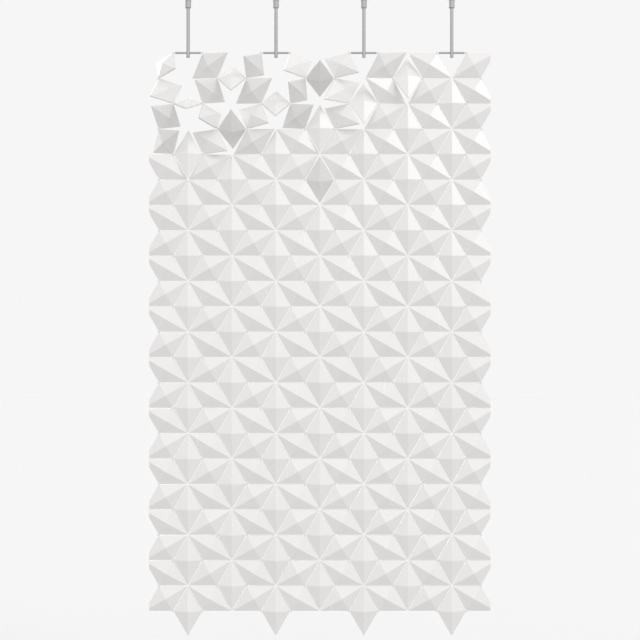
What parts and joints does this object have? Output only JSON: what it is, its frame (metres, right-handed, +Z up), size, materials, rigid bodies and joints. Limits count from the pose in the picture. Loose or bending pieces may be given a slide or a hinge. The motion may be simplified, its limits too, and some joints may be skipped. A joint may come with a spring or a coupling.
{
  "type": "hanging room divider panel",
  "caption": "Hanging room divider: a net of turnable white rhombic facets in a star pattern, hung on slim ceiling tubes that let the whole panel swing.",
  "frame": {"origin": "on the ceiling surface, over the middle column of the panel and in its middle plane", "axes": "+Z up, normal to the ceiling; +X along the panel's width, to the viewer's right; +Y to the panel's back, so that the front faces -Y"},
  "size_m": [1.32, 0.1798, 2.4698],
  "materials": {
    "hanger_metal": "satin anodised",
    "screw_steel": "satin",
    "net_plastic": "moulded, satin",
    "rod_aluminium": "drawn",
    "facet_plastic": "moulded, fine satin"
  },
  "bodies": {
    "hangers": {"ceiling_plates": "hanger_metal", "ceiling_sleeves": "hanger_metal", "sleeve_grub_screws": "screw_steel", "drop_tubes": "hanger_metal", "tube_end_plugs": "hanger_metal"},
    "panel": {"cross_bars": "hanger_metal", "net_hubs": "net_plastic", "axle_rods": "rod_aluminium", "closed_upright_fronts": "facet_plastic", "closed_upright_backs": "facet_plastic", "closed_slanted_fronts": "facet_plastic", "closed_slanted_backs": "facet_plastic"},
    "upright_facet_1_1": {"upright_facet_1_1": "facet_plastic"},
    "upright_facet_1_2": {"upright_facet_1_2": "facet_plastic"},
    "upright_facet_2_1": {"upright_facet_2_1": "facet_plastic"},
    "upright_facet_2_2": {"upright_facet_2_2": "facet_plastic"},
    "upright_facet_3_1": {"upright_facet_3_1": "facet_plastic"},
    "upright_facet_3_2": {"upright_facet_3_2": "facet_plastic"},
    "upright_facet_4_1": {"upright_facet_4_1": "facet_plastic"},
    "upright_facet_4_2": {"upright_facet_4_2": "facet_plastic"},
    "upright_facet_4_3": {"upright_facet_4_3": "facet_plastic"},
    "upright_facet_5_1": {"upright_facet_5_1": "facet_plastic"},
    "upright_facet_5_2": {"upright_facet_5_2": "facet_plastic"},
    "upright_facet_6_1": {"upright_facet_6_1": "facet_plastic"},
    "upright_facet_6_2": {"upright_facet_6_2": "facet_plastic"},
    "upright_facet_7_1": {"upright_facet_7_1": "facet_plastic"},
    "upright_facet_7_2": {"upright_facet_7_2": "facet_plastic"},
    "slanted_facet_1_1": {"slanted_facet_1_1": "facet_plastic"},
    "slanted_facet_1_2": {"slanted_facet_1_2": "facet_plastic"},
    "slanted_facet_1_3": {"slanted_facet_1_3": "facet_plastic"},
    "slanted_facet_1_4": {"slanted_facet_1_4": "facet_plastic"},
    "slanted_facet_2_1": {"slanted_facet_2_1": "facet_plastic"},
    "slanted_facet_2_2": {"slanted_facet_2_2": "facet_plastic"},
    "slanted_facet_2_3": {"slanted_facet_2_3": "facet_plastic"},
    "slanted_facet_2_4": {"slanted_facet_2_4": "facet_plastic"},
    "slanted_facet_3_1": {"slanted_facet_3_1": "facet_plastic"},
    "slanted_facet_3_2": {"slanted_facet_3_2": "facet_plastic"},
    "slanted_facet_3_3": {"slanted_facet_3_3": "facet_plastic"},
    "slanted_facet_3_4": {"slanted_facet_3_4": "facet_plastic"},
    "slanted_facet_4_1": {"slanted_facet_4_1": "facet_plastic"},
    "slanted_facet_4_2": {"slanted_facet_4_2": "facet_plastic"},
    "slanted_facet_4_3": {"slanted_facet_4_3": "facet_plastic"},
    "slanted_facet_4_4": {"slanted_facet_4_4": "facet_plastic"},
    "slanted_facet_5_1": {"slanted_facet_5_1": "facet_plastic"},
    "slanted_facet_5_2": {"slanted_facet_5_2": "facet_plastic"},
    "slanted_facet_5_3": {"slanted_facet_5_3": "facet_plastic"},
    "slanted_facet_5_4": {"slanted_facet_5_4": "facet_plastic"},
    "slanted_facet_6_1": {"slanted_facet_6_1": "facet_plastic"},
    "slanted_facet_6_2": {"slanted_facet_6_2": "facet_plastic"},
    "slanted_facet_6_3": {"slanted_facet_6_3": "facet_plastic"},
    "slanted_facet_6_4": {"slanted_facet_6_4": "facet_plastic"},
    "slanted_facet_7_1": {"slanted_facet_7_1": "facet_plastic"},
    "slanted_facet_7_2": {"slanted_facet_7_2": "facet_plastic"},
    "slanted_facet_7_3": {"slanted_facet_7_3": "facet_plastic"},
    "slanted_facet_7_4": {"slanted_facet_7_4": "facet_plastic"},
    "slanted_facet_8_1": {"slanted_facet_8_1": "facet_plastic"},
    "slanted_facet_8_2": {"slanted_facet_8_2": "facet_plastic"},
    "slanted_facet_8_3": {"slanted_facet_8_3": "facet_plastic"},
    "slanted_facet_8_4": {"slanted_facet_8_4": "facet_plastic"}
  },
  "joints": [
    {"name": "panel_swing", "type": "hinge", "parent": "hangers", "child": "panel", "pos_m": [0, 0, -0.216], "axis": [1, 0, 0], "range_deg": [-15, 15]},
    {"name": "upright_facet_1_1_turn", "type": "hinge", "parent": "panel", "child": "upright_facet_1_1", "pos_m": [-0.51, 0, -0.4123], "axis": [1, 0, 0], "continuous": true},
    {"name": "upright_facet_1_2_turn", "type": "hinge", "parent": "panel", "child": "upright_facet_1_2", "pos_m": [-0.51, 0, -0.6086], "axis": [1, 0, 0], "continuous": true},
    {"name": "upright_facet_2_1_turn", "type": "hinge", "parent": "panel", "child": "upright_facet_2_1", "pos_m": [-0.34, 0, -0.31415], "axis": [1, 0, 0], "continuous": true},
    {"name": "upright_facet_2_2_turn", "type": "hinge", "parent": "panel", "child": "upright_facet_2_2", "pos_m": [-0.34, 0, -0.51045], "axis": [1, 0, 0], "continuous": true},
    {"name": "upright_facet_3_1_turn", "type": "hinge", "parent": "panel", "child": "upright_facet_3_1", "pos_m": [-0.17, 0, -0.4123], "axis": [1, 0, 0], "continuous": true},
    {"name": "upright_facet_3_2_turn", "type": "hinge", "parent": "panel", "child": "upright_facet_3_2", "pos_m": [-0.17, 0, -0.6086], "axis": [1, 0, 0], "continuous": true},
    {"name": "upright_facet_4_1_turn", "type": "hinge", "parent": "panel", "child": "upright_facet_4_1", "pos_m": [0, 0, -0.31415], "axis": [1, 0, 0], "continuous": true},
    {"name": "upright_facet_4_2_turn", "type": "hinge", "parent": "panel", "child": "upright_facet_4_2", "pos_m": [0, 0, -0.51045], "axis": [1, 0, 0], "continuous": true},
    {"name": "upright_facet_4_3_turn", "type": "hinge", "parent": "panel", "child": "upright_facet_4_3", "pos_m": [0, 0, -0.70675], "axis": [1, 0, 0], "continuous": true},
    {"name": "upright_facet_5_1_turn", "type": "hinge", "parent": "panel", "child": "upright_facet_5_1", "pos_m": [0.17, 0, -0.4123], "axis": [1, 0, 0], "continuous": true},
    {"name": "upright_facet_5_2_turn", "type": "hinge", "parent": "panel", "child": "upright_facet_5_2", "pos_m": [0.17, 0, -0.6086], "axis": [1, 0, 0], "continuous": true},
    {"name": "upright_facet_6_1_turn", "type": "hinge", "parent": "panel", "child": "upright_facet_6_1", "pos_m": [0.34, 0, -0.31415], "axis": [1, 0, 0], "continuous": true},
    {"name": "upright_facet_6_2_turn", "type": "hinge", "parent": "panel", "child": "upright_facet_6_2", "pos_m": [0.34, 0, -0.51045], "axis": [1, 0, 0], "continuous": true},
    {"name": "upright_facet_7_1_turn", "type": "hinge", "parent": "panel", "child": "upright_facet_7_1", "pos_m": [0.51, 0, -0.4123], "axis": [1, 0, 0], "continuous": true},
    {"name": "upright_facet_7_2_turn", "type": "hinge", "parent": "panel", "child": "upright_facet_7_2", "pos_m": [0.51, 0, -0.6086], "axis": [1, 0, 0], "continuous": true},
    {"name": "slanted_facet_1_1_turn", "type": "hinge", "parent": "panel", "child": "slanted_facet_1_1", "pos_m": [-0.595, 0, -0.26508], "axis": [0.5, 0, 0.866], "continuous": true},
    {"name": "slanted_facet_1_2_turn", "type": "hinge", "parent": "panel", "child": "slanted_facet_1_2", "pos_m": [-0.595, 0, -0.36322], "axis": [-0.5, 0, 0.866], "continuous": true},
    {"name": "slanted_facet_1_3_turn", "type": "hinge", "parent": "panel", "child": "slanted_facet_1_3", "pos_m": [-0.595, 0, -0.46137], "axis": [0.5, 0, 0.866], "continuous": true},
    {"name": "slanted_facet_1_4_turn", "type": "hinge", "parent": "panel", "child": "slanted_facet_1_4", "pos_m": [-0.595, 0, -0.55952], "axis": [-0.5, 0, 0.866], "continuous": true},
    {"name": "slanted_facet_2_1_turn", "type": "hinge", "parent": "panel", "child": "slanted_facet_2_1", "pos_m": [-0.425, 0, -0.26508], "axis": [-0.5, 0, 0.866], "continuous": true},
    {"name": "slanted_facet_2_2_turn", "type": "hinge", "parent": "panel", "child": "slanted_facet_2_2", "pos_m": [-0.425, 0, -0.36322], "axis": [0.5, 0, 0.866], "continuous": true},
    {"name": "slanted_facet_2_3_turn", "type": "hinge", "parent": "panel", "child": "slanted_facet_2_3", "pos_m": [-0.425, 0, -0.46137], "axis": [-0.5, 0, 0.866], "continuous": true},
    {"name": "slanted_facet_2_4_turn", "type": "hinge", "parent": "panel", "child": "slanted_facet_2_4", "pos_m": [-0.425, 0, -0.55952], "axis": [0.5, 0, 0.866], "continuous": true},
    {"name": "slanted_facet_3_1_turn", "type": "hinge", "parent": "panel", "child": "slanted_facet_3_1", "pos_m": [-0.255, 0, -0.26508], "axis": [0.5, 0, 0.866], "continuous": true},
    {"name": "slanted_facet_3_2_turn", "type": "hinge", "parent": "panel", "child": "slanted_facet_3_2", "pos_m": [-0.255, 0, -0.36322], "axis": [-0.5, 0, 0.866], "continuous": true},
    {"name": "slanted_facet_3_3_turn", "type": "hinge", "parent": "panel", "child": "slanted_facet_3_3", "pos_m": [-0.255, 0, -0.46137], "axis": [0.5, 0, 0.866], "continuous": true},
    {"name": "slanted_facet_3_4_turn", "type": "hinge", "parent": "panel", "child": "slanted_facet_3_4", "pos_m": [-0.255, 0, -0.55952], "axis": [-0.5, 0, 0.866], "continuous": true},
    {"name": "slanted_facet_4_1_turn", "type": "hinge", "parent": "panel", "child": "slanted_facet_4_1", "pos_m": [-0.085, 0, -0.26508], "axis": [-0.5, 0, 0.866], "continuous": true},
    {"name": "slanted_facet_4_2_turn", "type": "hinge", "parent": "panel", "child": "slanted_facet_4_2", "pos_m": [-0.085, 0, -0.36322], "axis": [0.5, 0, 0.866], "continuous": true},
    {"name": "slanted_facet_4_3_turn", "type": "hinge", "parent": "panel", "child": "slanted_facet_4_3", "pos_m": [-0.085, 0, -0.46137], "axis": [-0.5, 0, 0.866], "continuous": true},
    {"name": "slanted_facet_4_4_turn", "type": "hinge", "parent": "panel", "child": "slanted_facet_4_4", "pos_m": [-0.085, 0, -0.55952], "axis": [0.5, 0, 0.866], "continuous": true},
    {"name": "slanted_facet_5_1_turn", "type": "hinge", "parent": "panel", "child": "slanted_facet_5_1", "pos_m": [0.085, 0, -0.26508], "axis": [0.5, 0, 0.866], "continuous": true},
    {"name": "slanted_facet_5_2_turn", "type": "hinge", "parent": "panel", "child": "slanted_facet_5_2", "pos_m": [0.085, 0, -0.36322], "axis": [-0.5, 0, 0.866], "continuous": true},
    {"name": "slanted_facet_5_3_turn", "type": "hinge", "parent": "panel", "child": "slanted_facet_5_3", "pos_m": [0.085, 0, -0.46137], "axis": [0.5, 0, 0.866], "continuous": true},
    {"name": "slanted_facet_5_4_turn", "type": "hinge", "parent": "panel", "child": "slanted_facet_5_4", "pos_m": [0.085, 0, -0.55952], "axis": [-0.5, 0, 0.866], "continuous": true},
    {"name": "slanted_facet_6_1_turn", "type": "hinge", "parent": "panel", "child": "slanted_facet_6_1", "pos_m": [0.255, 0, -0.26508], "axis": [-0.5, 0, 0.866], "continuous": true},
    {"name": "slanted_facet_6_2_turn", "type": "hinge", "parent": "panel", "child": "slanted_facet_6_2", "pos_m": [0.255, 0, -0.36322], "axis": [0.5, 0, 0.866], "continuous": true},
    {"name": "slanted_facet_6_3_turn", "type": "hinge", "parent": "panel", "child": "slanted_facet_6_3", "pos_m": [0.255, 0, -0.46137], "axis": [-0.5, 0, 0.866], "continuous": true},
    {"name": "slanted_facet_6_4_turn", "type": "hinge", "parent": "panel", "child": "slanted_facet_6_4", "pos_m": [0.255, 0, -0.55952], "axis": [0.5, 0, 0.866], "continuous": true},
    {"name": "slanted_facet_7_1_turn", "type": "hinge", "parent": "panel", "child": "slanted_facet_7_1", "pos_m": [0.425, 0, -0.26508], "axis": [0.5, 0, 0.866], "continuous": true},
    {"name": "slanted_facet_7_2_turn", "type": "hinge", "parent": "panel", "child": "slanted_facet_7_2", "pos_m": [0.425, 0, -0.36322], "axis": [-0.5, 0, 0.866], "continuous": true},
    {"name": "slanted_facet_7_3_turn", "type": "hinge", "parent": "panel", "child": "slanted_facet_7_3", "pos_m": [0.425, 0, -0.46137], "axis": [0.5, 0, 0.866], "continuous": true},
    {"name": "slanted_facet_7_4_turn", "type": "hinge", "parent": "panel", "child": "slanted_facet_7_4", "pos_m": [0.425, 0, -0.55952], "axis": [-0.5, 0, 0.866], "continuous": true},
    {"name": "slanted_facet_8_1_turn", "type": "hinge", "parent": "panel", "child": "slanted_facet_8_1", "pos_m": [0.595, 0, -0.26508], "axis": [-0.5, 0, 0.866], "continuous": true},
    {"name": "slanted_facet_8_2_turn", "type": "hinge", "parent": "panel", "child": "slanted_facet_8_2", "pos_m": [0.595, 0, -0.36322], "axis": [0.5, 0, 0.866], "continuous": true},
    {"name": "slanted_facet_8_3_turn", "type": "hinge", "parent": "panel", "child": "slanted_facet_8_3", "pos_m": [0.595, 0, -0.46137], "axis": [-0.5, 0, 0.866], "continuous": true},
    {"name": "slanted_facet_8_4_turn", "type": "hinge", "parent": "panel", "child": "slanted_facet_8_4", "pos_m": [0.595, 0, -0.55952], "axis": [0.5, 0, 0.866], "continuous": true}
  ]
}
